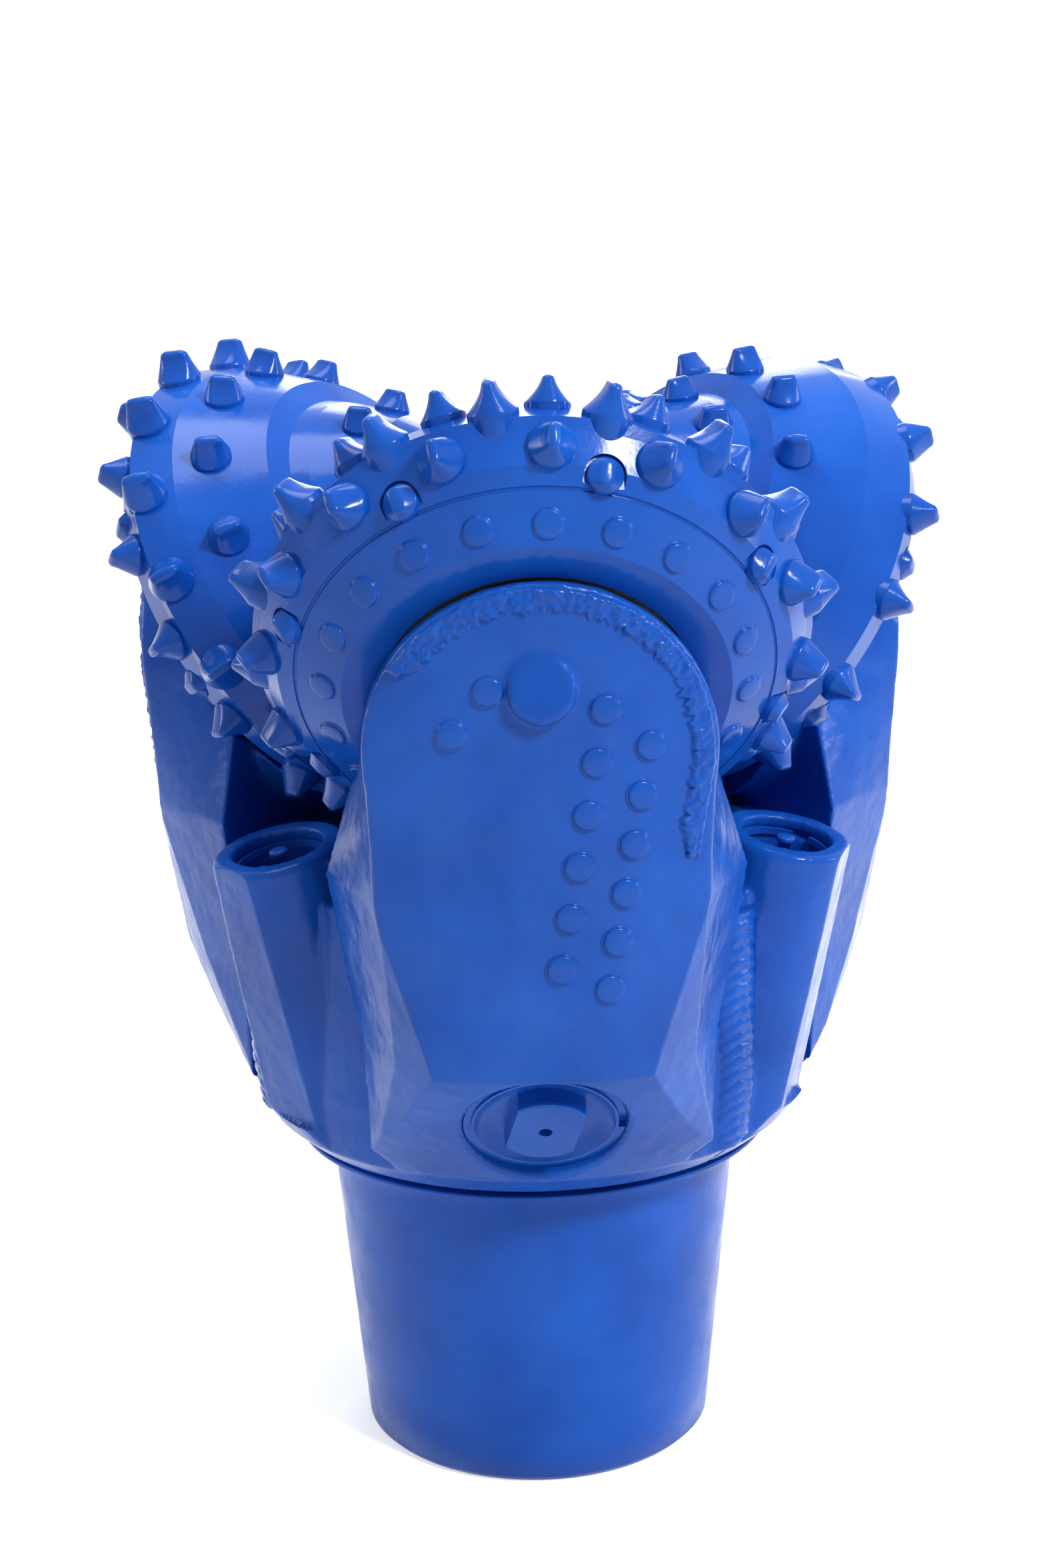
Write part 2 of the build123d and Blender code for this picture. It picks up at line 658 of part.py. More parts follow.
def nozzle_parts():
    frame = boss_frame()
    seat = -nozzle_seat_depth
    outer = nozzle_bore_radius
    nozzle = turned([(orifice_radius * 1.7, seat), (outer, seat), (outer, seat + nozzle_length * 0.3),
                     (outer - 2.4, seat + nozzle_length * 0.3), (outer - 2.4, seat + nozzle_length * 0.3 + 3),
                     (outer, seat + nozzle_length * 0.3 + 3), (outer, seat + nozzle_length),
                     (orifice_radius, seat + nozzle_length), (orifice_radius, seat + nozzle_length * 0.5)])
    seal_height = seat + nozzle_length * 0.3 + 1.5
    seal = Pos(0, 0, seal_height) * Torus(outer - 1.2, 1.15)
    snap = ring(outer - 1.0, outer + 1.8 * size, -6 * size - 1.1, -6 * size + 1.1)
    snap = snap - Pos(outer, 0, -6 * size) * Box(8, 7, 4)
    top = seat + nozzle_length
    cap = turned([(0, top + 0.1), (outer - 1.2, top + 0.1), (outer - 1.2, -13 * size), (outer - 4, -13 * size),
                  (outer - 4, -16 * size), (0, -16 * size)])
    bar = Pos(0, 0, -14.3 * size) * Box(2 * outer - 6, 7 * size, 4 * size)
    plug = cap + bar + Pos(0, 0, -11.5 * size) * Cylinder(4.2 * size, 4 * size)
    return {"nozzles": frame * nozzle, "nozzle_seals": frame * seal,
            "nozzle_snap_rings": frame * snap, "nozzle_plugs": frame * plug}


# ---- Thread protector ----------------------------------------------------------------------
def thread_protector():
    """Tapered pressed cup over the pin, with a lip against the shoulder."""
    top = shoulder_height - protector_seat_gap
    inner_top = pin_base_radius + protector_clearance + 0.9
    low_inner = thread_first_radius - (shoulder_height - pin_base_length) * thread_taper + protector_clearance
    low_outer = low_inner + protector_wall
    relief = shoulder_height - pin_base_length - 4
    high_outer = inner_top + protector_wall * 0.7
    return turned([
        (0, 0), (low_outer - 2.5, 0), (low_outer, 2.5), (high_outer, relief), (high_outer, top - lip_thickness),
        (lip_radius, top - lip_thickness), (lip_radius, top), (inner_top, top), (inner_top, relief),
        (inner_top - 1.2, relief - 2), (low_inner, protector_floor - 0.1), (0, protector_floor - 0.1)])


def main():
    os.makedirs("parts", exist_ok=True)
    for index in cones:
        build_cone(index)
    build_legs()
    export_each_sector("weld_seams", weld_bead())
    export_each_sector("leg_hardfacing", hardfacing())
    export_each_sector("ball_plugs", ball_plug())
    export_each_sector("ball_retainers", ball_retainer())
    export_each_sector("seal_rings", seal_ring())
    export_each_sector("thrust_washers", thrust_washer())
    for name, piece in {**reservoir_parts(), **nozzle_parts()}.items():
        export_each_sector(name, piece)
    export("thread_protector", thread_protector())


main()
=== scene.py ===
import json
import math

import bmesh
import bpy
import numpy as np
from mathutils import Matrix, Vector, noise


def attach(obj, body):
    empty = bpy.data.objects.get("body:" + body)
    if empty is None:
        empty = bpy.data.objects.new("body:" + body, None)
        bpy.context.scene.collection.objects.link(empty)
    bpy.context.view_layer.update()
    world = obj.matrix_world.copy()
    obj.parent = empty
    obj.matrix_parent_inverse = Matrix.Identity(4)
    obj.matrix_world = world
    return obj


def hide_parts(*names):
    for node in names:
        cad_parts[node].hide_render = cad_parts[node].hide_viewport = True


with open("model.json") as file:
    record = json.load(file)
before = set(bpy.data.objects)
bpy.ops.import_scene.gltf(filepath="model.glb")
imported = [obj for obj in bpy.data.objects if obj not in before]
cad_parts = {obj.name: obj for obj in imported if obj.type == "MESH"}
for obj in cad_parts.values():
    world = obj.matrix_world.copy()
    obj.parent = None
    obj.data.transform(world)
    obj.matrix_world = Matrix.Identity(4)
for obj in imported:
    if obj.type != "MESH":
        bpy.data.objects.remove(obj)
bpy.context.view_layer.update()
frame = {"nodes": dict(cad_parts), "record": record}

# Three-cone rotary drill bit, pin down in its thread protector, in blue paint on a white floor.
# Metres. Origin: centre of the protector's bottom face. +Z: up the bit axis. Leg 1 faces -Y.

# ---- Camera --------------------------------------------------------------------------------
CAMERA_DISTANCE = 0.944      # in front of the bit axis
CAMERA_HEIGHT = 0.488        # above the bottom of the protector
CAMERA_PITCH = 13.72         # degrees below the horizontal
CAMERA_YAW = -0.10
CAMERA_ROLL = -1.1
CAMERA_AZIMUTH = -2.0        # turn round the bit axis, away from the middle of leg 1
SENSOR = 36.0                # millimetres, long side
LENS = 58.27


def set_camera():
    pitch, yaw, roll = (math.radians(a) for a in (CAMERA_PITCH, CAMERA_YAW, CAMERA_ROLL))
    forward = Vector((math.sin(yaw) * math.cos(pitch), math.cos(yaw) * math.cos(pitch), -math.sin(pitch)))
    level = Vector((math.cos(yaw), -math.sin(yaw), 0))
    above = level.cross(forward)
    right = level * math.cos(roll) + above * math.sin(roll)
    up = above * math.cos(roll) - level * math.sin(roll)
    turn = Matrix((right, up, -forward)).transposed()
    data = bpy.data.cameras.new("camera")
    data.lens = LENS
    data.sensor_width = SENSOR
    camera = bpy.data.objects.new("camera", data)
    around = Matrix.Rotation(math.radians(CAMERA_AZIMUTH), 4, "Z")
    place = Matrix.Translation((0, -CAMERA_DISTANCE, CAMERA_HEIGHT))
    camera.matrix_world = around @ place @ turn.to_4x4()
    bpy.context.scene.collection.objects.link(camera)
    bpy.context.scene.camera = camera


# ---- The model's own places ----------------------------------------------------------------
MM = 0.001
UP = Vector((0, 0, 1))
JOINTS = {joint["child"]: joint for joint in frame["record"]["behaviour"]["joints"]}
SLOTS = {entry["node"]: entry["material_slot"] for entry in frame["record"]["subparts"]}
SECTORS = 3
SECTOR_TURN = 2 * math.pi / SECTORS
FIRST_AZIMUTH = math.radians(-90)         # of leg 1, round the bit axis


def body_of(node):
    """Name of the body that a CAD node rides on."""
    if node in JOINTS:
        return node
    cone = node[:len("cone_1")]
    return cone if cone in JOINTS else "bit_body"


def to_leg(index):
    """Turn that brings a leg's middle plane onto +X."""
    return Matrix.Rotation(-(FIRST_AZIMUTH + SECTOR_TURN * index), 4, "Z")


# ---- Materials -----------------------------------------------------------------------------
def new_material(name):
    material = bpy.data.materials.new(name)
    material.use_nodes = True
    nodes, links = material.node_tree.nodes, material.node_tree.links
    return material, nodes, links, nodes["Principled BSDF"]


def noise_node(nodes, links, scale, detail=3.0):
    coords = nodes.new("ShaderNodeTexCoord")
    texture = nodes.new("ShaderNodeTexNoise")
    texture.inputs["Scale"].default_value = scale
    texture.inputs["Detail"].default_value = detail
    links.new(coords.outputs["Object"], texture.inputs["Vector"])
    return texture.outputs["Fac"]


def ramp(nodes, links, source, stops):
    node = nodes.new("ShaderNodeValToRGB")
    while len(node.color_ramp.elements) < len(stops):
        node.color_ramp.elements.new(0.5)
    for element, (place, colour) in zip(node.color_ramp.elements, stops):
        element.position = place
        element.color = (*colour, 1.0)
    links.new(source, node.inputs["Fac"])
    return node.outputs["Color"]


def mapped(nodes, links, source, low, high, from_low=0.0, from_high=1.0):
    node = nodes.new("ShaderNodeMapRange")
    node.inputs["From Min"].default_value = from_low
    node.inputs["From Max"].default_value = from_high
    node.inputs["To Min"].default_value = low
    node.inputs["To Max"].default_value = high
    links.new(source, node.inputs["Value"])
    return node.outputs["Result"]


def bump(nodes, links, height, strength, distance, below=None):
    node = nodes.new("ShaderNodeBump")
    node.inputs["Strength"].default_value = strength
    node.inputs["Distance"].default_value = distance
    links.new(height, node.inputs["Height"])
    if below is not None:
        links.new(below, node.inputs["Normal"])
    return node.outputs["Normal"]


PAINT_TONES = (              # place on the ramp, colour where the paint is deep, middling and thin
    (0.28, (0.004, 0.058, 0.33)),
    (0.50, (0.006, 0.076, 0.41)),
    (0.74, (0.010, 0.100, 0.49)),
)
PAINT_SPECULAR = 0.17
PATCH_SCALE, GLOSS_SCALE = 22.0, 60.0
PEEL_SCALE, PEEL_DEPTH = 520.0, 0.2 * MM
FORGING_SCALE, FORGING_DEPTH = 95.0, 1.2 * MM


def blue_paint(name, shade, roughness, peel, forging):
    """Glossy enamel: colour that pools in patches, uneven gloss, orange peel over forged skin."""
    material, nodes, links, surface = new_material(name)
    tones = [(place, tuple(c * shade for c in tone)) for place, tone in PAINT_TONES]
    links.new(ramp(nodes, links, noise_node(nodes, links, PATCH_SCALE, 5.0), tones),
              surface.inputs["Base Color"])
    gloss = noise_node(nodes, links, GLOSS_SCALE, 4.0)
    links.new(mapped(nodes, links, gloss, roughness * 0.7, roughness * 1.5, 0.3, 0.7),
              surface.inputs["Roughness"])
    surface.inputs["Specular IOR Level"].default_value = PAINT_SPECULAR
    fine = bump(nodes, links, noise_node(nodes, links, PEEL_SCALE, 2.0), peel, PEEL_DEPTH)
    coarse = bump(nodes, links, noise_node(nodes, links, FORGING_SCALE, 6.0), forging, FORGING_DEPTH, fine)
    links.new(coarse, surface.inputs["Normal"])
    return material


def bare_material(name, colour, roughness, metallic=1.0):
    """Unpainted metal or rubber with faint uneven colour and gloss."""
    material, nodes, links, surface = new_material(name)
    dark = tuple(c * 0.82 for c in colour)
    links.new(ramp(nodes, links, noise_node(nodes, links, 220.0), [(0.35, dark), (0.65, colour)]),
              surface.inputs["Base Color"])
    surface.inputs["Metallic"].default_value = metallic
    links.new(mapped(nodes, links, noise_node(nodes, links, 90.0), roughness * 0.8, roughness * 1.3),
              surface.inputs["Roughness"])
    return material


MATERIALS = {                # painted: shade, roughness, orange peel, forged skin
    "painted_body": blue_paint("paint_body", 1.0, 0.22, 0.3, 0.22),
    "painted_cones": blue_paint("paint_cones", 1.0, 0.15, 0.2, 0.06),
    "painted_inserts": blue_paint("paint_inserts", 0.95, 0.16, 0.25, 0.1),
    "painted_protector": blue_paint("paint_protector", 1.06, 0.26, 0.35, 0.1),
    "bearing_bronze": bare_material("bronze", (0.72, 0.47, 0.22), 0.3),
    "bearing_steel": bare_material("ground_steel", (0.55, 0.55, 0.57), 0.25),
    "carbide": bare_material("carbide", (0.3, 0.3, 0.32), 0.35),
    "seal_rubber": bare_material("rubber", (0.03, 0.03, 0.03), 0.6, 0.0),
}
OVERSPRAYED = ("nozzle_snap_rings",)      # bare parts that the bit's paint covers


def dress_nodes():
    for node, slot in SLOTS.items():
        mesh = frame["nodes"][node].data
        mesh.materials.clear()
        mesh.materials.append(MATERIALS["painted_body" if node in OVERSPRAYED else slot])


# ---- Meshes --------------------------------------------------------------------------------
def add_piece(name, mesh, body, slot, *nodes):
    """Link a finished mesh as a piece that rides on a body and stands for CAD nodes."""
    piece = bpy.data.objects.new(name, mesh)
    bpy.context.scene.collection.objects.link(piece)
    mesh.materials.append(MATERIALS[slot])
    mesh.shade_smooth()
    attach(piece, body)
    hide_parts(*nodes)


def mesh_of(bm, name):
    """Turn a bmesh of closed shells into a mesh and free it."""
    bmesh.ops.recalc_face_normals(bm, faces=bm.faces)
    mesh = bpy.data.meshes.new(name)
    bm.to_mesh(mesh)
    bm.free()
    return mesh


def add_shape(bm, name, node):
    """Add a bmesh as a piece in place of a CAD node, on the node's body and in its material."""
    add_piece(name, mesh_of(bm, name), body_of(node), SLOTS[node], node)


def joined(meshes, name):
    bm = bmesh.new()
    for mesh in meshes:
        bm.from_mesh(mesh)
        bpy.data.meshes.remove(mesh)
    return mesh_of(bm, name)


def welded_copy(node):
    """The node's mesh with the vertices that the import split joined again."""
    bm = bmesh.new()
    bm.from_mesh(frame["nodes"][node].data)
    bmesh.ops.remove_doubles(bm, verts=bm.verts, dist=0.002 * MM)
    return bm


def islands(bm):
    """Loose parts of a mesh, each as its list of faces."""
    found, parts = set(), []
    for seed in bm.faces:
        if seed.index in found:
            continue
        found.add(seed.index)
        stack, part = [seed], []
        while stack:
            face = stack.pop()
            part.append(face)
            for vert in face.verts:
                for near in vert.link_faces:
                    if near.index not in found:
                        found.add(near.index)
                        stack.append(near)
        parts.append(part)
    return parts


def verts_of(part):
    """Vertices of a part, each once and in a fixed order."""
    return list(dict.fromkeys(v for face in part for v in face.verts))


def middle_of(verts):
    return sum((v.co for v in verts), Vector()) / len(verts)


def skin_loops(bm, loops, capped=True):
    """Faces between closed loops of vertices, from foot to top, and over both ends."""
    around = len(loops[0])
    for low, high in zip(loops, loops[1:]):
        for n in range(around):
            m = (n + 1) % around
            bm.faces.new((low[n], low[m], high[m], high[n]))
    if capped:
        bm.faces.new(reversed(loops[0]))
        bm.faces.new(loops[-1])


SEGMENTS = 40                # round an insert, button or knob


def lathed(bm, place, profile, around=SEGMENTS, capped=True):
    """Turn a profile of (radius, height) pairs, from foot to top, round the axis of a place."""
    turns = [2 * math.pi * n / around for n in range(around)]
    loops = [[bm.verts.new(place @ Vector((radius * math.cos(turn), radius * math.sin(turn), height)))
              for turn in turns] for radius, height in profile]
    skin_loops(bm, loops, capped)


# ---- Inserts -------------------------------------------------------------------------------
CREST_SHAPES = {             # crest half length and half width over the radius, flank hollow
    "gauge_row": (0.50, 0.21, 1.35),
    "crest_row": (0.60, 0.25, 1.75),
    "middle_row": (0.60, 0.25, 1.65),
    "inner_row": (0.58, 0.26, 1.55),
    "nose_row": (0.55, 0.28, 1.4),
    "trimmers": (0.70, 0.34, 1.2),
}
RISE_GROWTH = {"crest_row": 1.16, "gauge_row": 1.12}     # over the CAD's, where cones stay clear
RADIUS_GROWTH = {"crest_row": 1.05, "gauge_row": 1.06}
TIP_SHARE = 0.88             # CAD height above the insert's shoulder, over its rise
SHOULDER_SHARE = 0.12        # height of the insert's cylinder above the steel, over its rise
ROUND_SHARE = 0.12           # last part of the height, where the crest's edge is rounded
RINGS = 14                   # up the flanks
END_BAND = 0.05 * MM         # thickness of the slice that counts as the flat grip end


def insert_place(part, guide):
    """Foot, radius, rise and grip of a CAD insert, read from its flat grip end.

    The foot's Z points out of the steel, and its X is as near as it can be to the guide."""
    areas = {}
    for face in part:
        key = tuple(round(c, 2) for c in face.normal)
        total, normal = areas.get(key, (0.0, Vector()))
        areas[key] = (total + face.calc_area(), normal + face.normal * face.calc_area())
    out = -max(areas.values(), key=lambda item: item[0])[1].normalized()
    verts = verts_of(part)
    heights = [v.co.dot(out) for v in verts]
    low, tip = min(heights), max(heights)
    end = [v.co for v in verts if v.co.dot(out) < low + END_BAND]
    along = (guide - out * guide.dot(out)).normalized()
    across = out.cross(along)
    middle = Vector()
    for direction in (along, across):
        spots = [p.dot(direction) for p in end]
        middle += direction * (min(spots) + max(spots)) / 2
    radius = max((p - middle - out * p.dot(out)).length for p in end)
    rim = [v.co.dot(out) for v in verts
           if (v.co - middle - out * v.co.dot(out)).length > 0.985 * radius]
    rise = (tip - max(rim)) / TIP_SHARE
    turn = Matrix((along, across, out)).transposed().to_4x4()
    return Matrix.Translation(middle + out * (tip - rise)) @ turn, radius, rise, tip - rise - low


def insert_rings(radius, rise, grip, shape):
    """Outline rings of a pressed insert: round grip, hollow flanks and a rounded chisel crest.

    Each ring has a height, half length, half width and squareness, where 2 is an ellipse."""
    crest_length, crest_width, hollow = shape
    rings = [(-grip, radius * 0.94, radius * 0.94, 2.0), (-grip * 0.94, radius, radius, 2.0),
             (-0.3 * MM, radius, radius, 2.0), (SHOULDER_SHARE * rise * 0.6, radius, radius, 2.0)]
    flank_foot = SHOULDER_SHARE * 0.8
    for step in range(RINGS + 1):
        share = step / RINGS
        height = rise * (flank_foot + (1 - flank_foot) * share)
        length = radius * (1 - (1 - crest_length) * share ** 0.95)
        width = radius * (crest_width + (1 - crest_width) * (1 - share) ** hollow)
        if share > 1 - ROUND_SHARE:
            turn = (share - 1 + ROUND_SHARE) / ROUND_SHARE
            inset = 0.55 * crest_width * radius * (1 - math.sqrt(max(0.0, 1 - turn * turn)))
            length, width = length - inset, width - inset
        rings.append((height, length, width, 2.0 + 1.4 * share))
    return rings


def insert_mesh(bm, place, radius, rise, grip, shape):
    loops = []
    for height, length, width, square in insert_rings(radius, rise, grip, shape):
        loop = []
        for n in range(SEGMENTS):
            angle = 2 * math.pi * n / SEGMENTS
            c, s = math.cos(angle), math.sin(angle)
            reach = (abs(c) ** square + abs(s) ** square) ** (-1 / square)
            loop.append(bm.verts.new(place @ Vector((length * reach * c, width * reach * s, height))))
        loops.append(loop)
    skin_loops(bm, loops)


def build_inserts():
    """One piece per row of inserts, each insert standing where its CAD solid does."""
    for node in frame["nodes"]:
        row = node[len("cone_1_"):]
        if not node.startswith("cone_") or row not in CREST_SHAPES:
            continue
        cone_axis = Vector(JOINTS[body_of(node)]["axis"]).normalized()
        source, bm = welded_copy(node), bmesh.new()
        for part in islands(source):
            place, radius, rise, grip = insert_place(part, cone_axis)
            rise *= RISE_GROWTH.get(row, 1.0)
            radius *= RADIUS_GROWTH.get(row, 1.0)
            insert_mesh(bm, place, radius, rise, grip, CREST_SHAPES[row])
        source.free()
        add_shape(bm, node + "_chisels", node)


# ---- Buttons, plugs and knobs --------------------------------------------------------------
BUTTONS = {                  # CAD height over the steel, painted height, paint fillet at the foot
    "leg_compacts": (1.6 * MM, 1.3 * MM, 0.7 * MM),
    "cone_1_heel_compacts": (0.9 * MM, 1.2 * MM, 0.5 * MM),
    "cone_2_heel_compacts": (0.9 * MM, 1.2 * MM, 0.5 * MM),
    "cone_3_heel_compacts": (0.9 * MM, 1.2 * MM, 0.5 * MM),
}
BUTTON_EDGE = 1.1 * MM       # rounding of a button's head
BUTTON_GRIP = 3.0 * MM
FILLET_STEPS, EDGE_STEPS = 4, 5
KNOB_PROFILE = (             # radius and height in millimetres, from the stem up
    (2.4, -12), (2.4, -1.4), (3.2, -1.2), (3.5, -0.7), (3.5, 0.4), (3.1, 0.9), (1.5, 1.1),
)
KNOB_LIFT = 3.6 * MM         # of the knob's profile over the middle of the snap ring
PLUG_SINK = 0.9 * MM


def button_profile(radius, rise, fillet):
    """Flat button with a rounded head, standing in a fillet of paint."""
    profile = [(radius, -BUTTON_GRIP), (radius, -0.8 * MM), (radius + fillet, -0.5 * MM)]
    for step in range(FILLET_STEPS + 1):
        turn = math.pi / 2 * step / FILLET_STEPS
        profile.append((radius + fillet * (1 - math.sin(turn)), fillet * 0.6 * (1 - math.cos(turn))))
    for step in range(EDGE_STEPS + 1):
        turn = math.pi / 2 * step / EDGE_STEPS
        profile.append((radius - BUTTON_EDGE * (1 - math.cos(turn)),
                        rise - BUTTON_EDGE * (1 - math.sin(turn))))
    return profile + [(radius * 0.55, rise + 0.12 * MM), (radius * 0.2, rise + 0.16 * MM)]


def build_buttons():
    for node, (head, rise, fillet) in BUTTONS.items():
        source, bm = welded_copy(node), bmesh.new()
        for part in islands(source):
            place, radius, _, _ = insert_place(part, UP)
            tip = max((place.inverted() @ v.co).z for v in verts_of(part))
            foot = place @ Matrix.Translation((0, 0, tip - head))
            lathed(bm, foot, button_profile(radius, rise, fillet))
        source.free()
        add_shape(bm, node + "_buttons", node)


def build_plug_knobs():
    """Shipping plugs of the nozzles, each with a round button in its middle."""
    bm, rings = welded_copy("nozzle_plugs"), welded_copy("nozzle_snap_rings")
    for part in islands(rings):
        place = insert_place(part, UP)[0]
        if (place.to_3x3() @ UP).z < 0:
            place = place @ Matrix.Rotation(math.pi, 4, "X")
        spots = [place.inverted() @ v.co for v in verts_of(part)]
        middle = Vector([(min(p[n] for p in spots) + max(p[n] for p in spots)) / 2 for n in range(3)])
        foot = place @ Matrix.Translation(middle + UP * KNOB_LIFT)
        lathed(bm, foot, [(radius * MM, height * MM) for radius, height in KNOB_PROFILE])
    rings.free()
    add_shape(bm, "nozzle_plugs_knobbed", "nozzle_plugs")


def build_ball_plugs():
    """Plugs set almost flush, so that each shows as a faint disc through the paint."""
    bm = welded_copy("ball_plugs")
    for part in islands(bm):
        verts = verts_of(part)
        middle = middle_of(verts)
        inward = -Vector((middle.x, middle.y, 0)).normalized()
        for v in verts:
            v.co += inward * PLUG_SINK
    add_shape(bm, "ball_plug_discs", "ball_plugs")


# ---- Protector -----------------------------------------------------------------------------
SEAM_GAP = 2.3 * MM          # between the protector's CAD top and the flange
RIM_DROP = SEAM_GAP + 0.4 * MM
RIM_DEPTH = 2.0 * MM         # of the protector's top that is lowered with its rim
FLANGE_RADIUS = 91.6 * MM
FLANGE_THICKNESS = 1.8 * MM
FLANGE_EDGE = 0.4 * MM
FLANGE_SEGMENTS = 96


def build_protector():
    """Protector with a thin flange under the shoulder, so that the seam reads as a dark line."""
    bm = welded_copy("thread_protector")
    top = max(v.co.z for v in bm.verts)
    rim = [v for v in bm.verts if v.co.z > top - RIM_DEPTH]
    inner = max(v.co.xy.length for v in rim) - 1 * MM
    for v in rim:
        v.co.z -= RIM_DROP
    high = top - SEAM_GAP
    low = high - FLANGE_THICKNESS
    lathed(bm, Matrix.Identity(4), [
        (inner, low), (FLANGE_RADIUS - FLANGE_EDGE, low), (FLANGE_RADIUS, low + FLANGE_EDGE),
        (FLANGE_RADIUS, high - FLANGE_EDGE), (FLANGE_RADIUS - FLANGE_EDGE, high), (inner, high),
    ], FLANGE_SEGMENTS, capped=False)
    add_shape(bm, "protector_sleeve", "thread_protector")


# ---- Legs ----------------------------------------------------------------------------------
# A leg's own frame has the bit axis as Z and the middle of its back face on +X.
STEEL_RADIUS = 150.0 * MM    # of the turned back face at the dome's top
KNEE_RADIUS = 140.0 * MM
KNEE_HEIGHT = 188.4 * MM
DOME_RADIUS = 59.0 * MM
DOME_CENTRE = JOINTS["cone_1"]["pos_m"][2] - 89.0 * MM
LEG_VOXEL = 1.1 * MM
LEG_SMOOTHING = 5
BEVELS = ((-1, 33.0), (1, 31.5))          # side of the face, half width of the face at the knee
BEVEL_FOOT = 146 * MM
SKIN_LUMPS = (               # height, size and octaves of the forged skin's lumps
    (0.16 * MM, 9 * MM, 3),
    (0.35 * MM, 42 * MM, 2),
)
SKIN_RADIUS, SKIN_FOOT = 88 * MM, 138 * MM
POCKET_PLACE = np.array((121.5, 0, 162.9)) * MM
POCKET_REACH = 36 * MM
POCKET_SKIN = 0.15           # of the lumps, left on the machined reservoir pocket


def face_radius(height):
    """Radius of the turned back face of a leg at a height."""
    share = (height - KNEE_HEIGHT) / (DOME_CENTRE + DOME_RADIUS - KNEE_HEIGHT)
    return KNEE_RADIUS + (STEEL_RADIUS - KNEE_RADIUS) * share


def remeshed(bm, voxel, smoothing):
    """Voxel-remeshed and smoothed mesh of a bmesh, which is freed."""
    mesh = bpy.data.meshes.new("remesh_source")
    bm.to_mesh(mesh)
    bm.free()
    work = bpy.data.objects.new("remesh_source", mesh)
    bpy.context.scene.collection.objects.link(work)
    voxels = work.modifiers.new("voxels", "REMESH")
    voxels.mode = "VOXEL"
    voxels.voxel_size = voxel
    soft = work.modifiers.new("soft", "SMOOTH")
    soft.factor = 0.5
    soft.iterations = smoothing
    depsgraph = bpy.context.evaluated_depsgraph_get()
    result = bpy.data.meshes.new_from_object(work.evaluated_get(depsgraph))
    bpy.data.objects.remove(work)
    bpy.data.meshes.remove(mesh)
    return result


def vertex_array(mesh, kind):
    """Coordinates or normals of a mesh's vertices, one row each."""
    values = np.empty(len(mesh.vertices) * 3)
    mesh.vertices.foreach_get(kind, values)
    return values.reshape(-1, 3)


def plane_off(points, corners, above):
    """Press the points that stand outside a plane down onto it, above a height."""
    a, b, c = (np.array(corner) * MM for corner in corners)
    normal = np.cross(b - a, c - a)
    normal /= np.linalg.norm(normal)
    if normal[0] < 0:
        normal = -normal
    outside = (points - a) @ normal
    outside[(outside < 0) | (points[:, 2] < above)] = 0
    points -= outside[:, None] * normal


def lumps(points, size, octaves):
    """Smooth noise at each point, about -1 to 1."""
    return np.array([noise.fractal(Vector(p) / size, 1.0, 2.0, octaves) for p in points])


def add_leg_solids(bm, node):
    """Add the first leg's own solids of a node that holds those of every leg, buttons cut flush."""
    source = welded_copy(node)
    bmesh.ops.transform(source, matrix=to_leg(0), verts=source.verts)
    for part in islands(source):
        verts = verts_of(part)
        middle = middle_of(verts)
        if abs(math.atan2(middle.y, middle.x)) >= SECTOR_TURN / 2:
            continue
        if node in BUTTONS:
            out = insert_place(part, UP)[0].to_3x3() @ UP
            flush = max(v.co.dot(out) for v in verts) - BUTTONS[node][0]
            for v in verts:
                v.co -= out * max(0.0, v.co.dot(out) - flush)
        copies = {v: bm.verts.new(v.co) for v in verts}
        for face in part:
            bm.faces.new([copies[v] for v in face.verts])
    source.free()


def shaped_leg():
    """Leg 1 in the leg's own frame: forged skin, soft edges and a bevelled foot.

    The solids let into it are filled in first, so that the paint closes round them."""
    bm = welded_copy("leg_1")
    bmesh.ops.transform(bm, matrix=to_leg(0), verts=bm.verts)
    for node in ("leg_compacts", "ball_plugs", "weld_seams"):
        add_leg_solids(bm, node)
    mesh = remeshed(bm, LEG_VOXEL, LEG_SMOOTHING)
    points, normals = vertex_array(mesh, "co"), vertex_array(mesh, "normal")
    for side, edge in BEVELS:
        corners = [(141, side * edge, 188), (148.5, side * 52, 280), (118, side * (edge + 19), 188)]
        plane_off(points, corners, BEVEL_FOOT)
    radial = np.hypot(points[:, 0], points[:, 1])
    outer = (radial > SKIN_RADIUS) & (points[:, 2] > SKIN_FOOT)
    skin = np.zeros(len(points))
    for height, size, octaves in SKIN_LUMPS:
        skin[outer] += height * lumps(points[outer], size, octaves)
    skin[np.linalg.norm(points - POCKET_PLACE, axis=1) < POCKET_REACH] *= POCKET_SKIN
    mesh.vertices.foreach_set("co", (points + normals * skin[:, None]).ravel())
    mesh.update()
    return mesh


def build_legs():
    shape = shaped_leg()
    for index in range(SECTORS):
        node = f"leg_{index + 1}"
        mesh = shape.copy()
        mesh.transform(to_leg(index).inverted())
        add_piece(node + "_forging", mesh, "bit_body", "painted_body", node)


# ---- Hardfacing ----------------------------------------------------------------------------
HARDFACING_WIDTH = 12.5 * MM     # in from the dome's edge
HARDFACING_RISE = 1.3 * MM
HARDFACING_ROWS = 30             # across the band
HARDFACING_SUNK = 1.6 * MM       # how far its borders lie under the leg's face
HARDFACING_START = 150           # degrees, at the upper left of the dome
DOME_STEPS, SIDE_STEPS = 325, 50
FADE_START, FADE_END = 14, 24    # steps over which the band runs out


